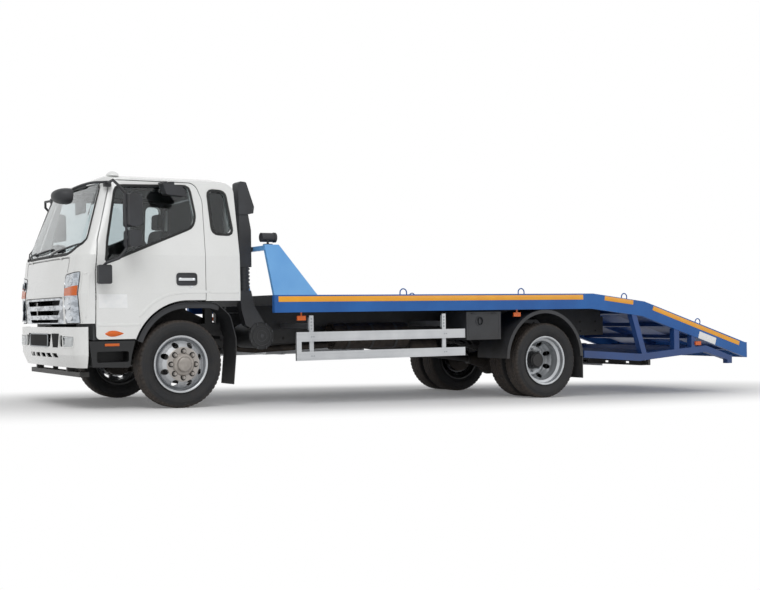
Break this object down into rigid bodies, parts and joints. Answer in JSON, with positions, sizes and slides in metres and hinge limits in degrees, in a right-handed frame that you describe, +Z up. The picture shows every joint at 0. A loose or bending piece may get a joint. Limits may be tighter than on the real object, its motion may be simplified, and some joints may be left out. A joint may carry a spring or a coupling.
{
  "type": "flatbed tow truck",
  "caption": "Two-axle cab-over recovery truck with a fixed platform whose tail slopes down, open headboard with wings, side guards, twin rear wheels and slide-out loading ramps.",
  "frame": {"origin": "middle of the truck's length and width, on the ground under the tyres", "axes": "+X towards the front of the cab, +Y to the vehicle's left, +Z up"},
  "size_m": [9.4922, 2.86, 2.4787],
  "materials": {
    "cab_paint": "gloss",
    "bed_paint": "gloss",
    "wing_paint": "gloss",
    "frame_black": "satin",
    "cast_iron": "rough",
    "trim_black": "matt",
    "interior": "matt",
    "aluminium": "brushed",
    "rim_silver": "machined",
    "tyre": "matt",
    "glass": "clear",
    "lamp_lens": "clear",
    "amber_lens": "gloss",
    "chrome": "polished",
    "seat_fabric": "woven",
    "exhaust_steel": "heat-stained",
    "winch_metal": "satin"
  },
  "bodies": {
    "chassis": {"air_filter": "trim_black", "bed_deck": "bed_paint", "bed_frame": "bed_paint", "bed_rails": "bed_paint", "engine_block": "cast_iron", "frame_rails": "frame_black", "front_axle": "cast_iron", "front_beam": "frame_black", "front_bumper": "cab_paint", "front_mudguards": "trim_black", "fuel_tank": "aluminium", "headboard": "wing_paint", "intake_snorkel": "trim_black", "leaf_springs": "frame_black", "marker_lamps": "amber_lens", "propeller_shaft": "frame_black", "ramp_pockets": "bed_paint", "rear_axle": "cast_iron", "rear_mudguards": "trim_black", "side_guards": "aluminium", "silencer": "exhaust_steel", "step_boxes": "trim_black", "tail_frame": "bed_paint", "tie_downs": "bed_paint", "toolbox": "trim_black", "underrun_beam": "frame_black", "winch": "winch_metal", "work_lamps": "trim_black"},
    "cab": {"cab_floor": "interior", "cab_sides": "cab_paint", "cab_rear_wall": "cab_paint", "cab_roof": "cab_paint", "cab_front": "cab_paint", "grille": "chrome", "headlamps": "lamp_lens", "cab_glass": "glass", "dashboard": "interior", "steering_wheel": "trim_black", "seats": "seat_fabric", "front_mirror": "trim_black"},
    "front_lid": {"front_lid": "cab_paint"},
    "door_left": {"door_left": "cab_paint", "door_glass_left": "glass", "mirror_left": "trim_black"},
    "door_right": {"door_right": "cab_paint", "door_glass_right": "glass", "mirror_right": "trim_black"},
    "knuckle_left": {"knuckle_left": "cast_iron"},
    "knuckle_right": {"knuckle_right": "cast_iron"},
    "wheel_front_left": {"front_wheel_left": "rim_silver", "front_tyre_left": "tyre"},
    "wheel_front_right": {"front_wheel_right": "rim_silver", "front_tyre_right": "tyre"},
    "wheels_rear_left": {"rear_wheel_left": "rim_silver", "rear_tyres_left": "tyre"},
    "wheels_rear_right": {"rear_wheel_right": "rim_silver", "rear_tyres_right": "tyre"},
    "ramp_left": {"ramp_left": "aluminium"},
    "ramp_right": {"ramp_right": "aluminium"}
  },
  "joints": [
    {"name": "cab_tilt", "type": "hinge", "parent": "chassis", "child": "cab", "pos_m": [4.4962, 0, 0.69089], "axis": [0, 1, 0], "range_deg": [0, 40]},
    {"name": "front_lid_hinge", "type": "hinge", "parent": "cab", "child": "front_lid", "pos_m": [4.53942, 0, 1.55314], "axis": [0, -1, 0], "range_deg": [0, 70]},
    {"name": "door_left_hinge", "type": "hinge", "parent": "cab", "child": "door_left", "pos_m": [4.30572, 1.108, 1.12024], "axis": [-0.0223, 0, -0.9998], "range_deg": [0, 65]},
    {"name": "door_right_hinge", "type": "hinge", "parent": "cab", "child": "door_right", "pos_m": [4.30572, -1.108, 1.12024], "axis": [0.0223, 0, 0.9998], "range_deg": [0, 65]},
    {"name": "steer_left", "type": "hinge", "parent": "chassis", "child": "knuckle_left", "pos_m": [3.41075, 0.81, 0.458], "axis": [0.0223, 0, 0.9998], "range_deg": [-32, 32]},
    {"name": "steer_right", "type": "hinge", "parent": "chassis", "child": "knuckle_right", "pos_m": [3.41075, -0.81, 0.458], "axis": [0.0223, 0, 0.9998], "range_deg": [-32, 32]},
    {"name": "wheel_front_left_spin", "type": "hinge", "parent": "knuckle_left", "child": "wheel_front_left", "pos_m": [3.41075, 0.988, 0.458], "axis": [0, 1, 0], "continuous": true},
    {"name": "wheel_front_right_spin", "type": "hinge", "parent": "knuckle_right", "child": "wheel_front_right", "pos_m": [3.41075, -0.988, 0.458], "axis": [0, 1, 0], "continuous": true},
    {"name": "wheels_rear_left_spin", "type": "hinge", "parent": "chassis", "child": "wheels_rear_left", "pos_m": [-1.31925, 1.082, 0.458], "axis": [0, 1, 0], "continuous": true},
    {"name": "wheels_rear_right_spin", "type": "hinge", "parent": "chassis", "child": "wheels_rear_right", "pos_m": [-1.31925, -1.082, 0.458], "axis": [0, 1, 0], "continuous": true},
    {"name": "ramp_left_slide", "type": "slide", "parent": "chassis", "child": "ramp_left", "axis": [-0.9611, 0, -0.276], "range_m": [0, 1.45]},
    {"name": "ramp_right_slide", "type": "slide", "parent": "chassis", "child": "ramp_right", "axis": [-0.9611, 0, -0.276], "range_m": [0, 1.45]}
  ],
  "couplings": [
    {"joint": "steer_right", "follows": "steer_left", "ratio": 1}
  ]
}
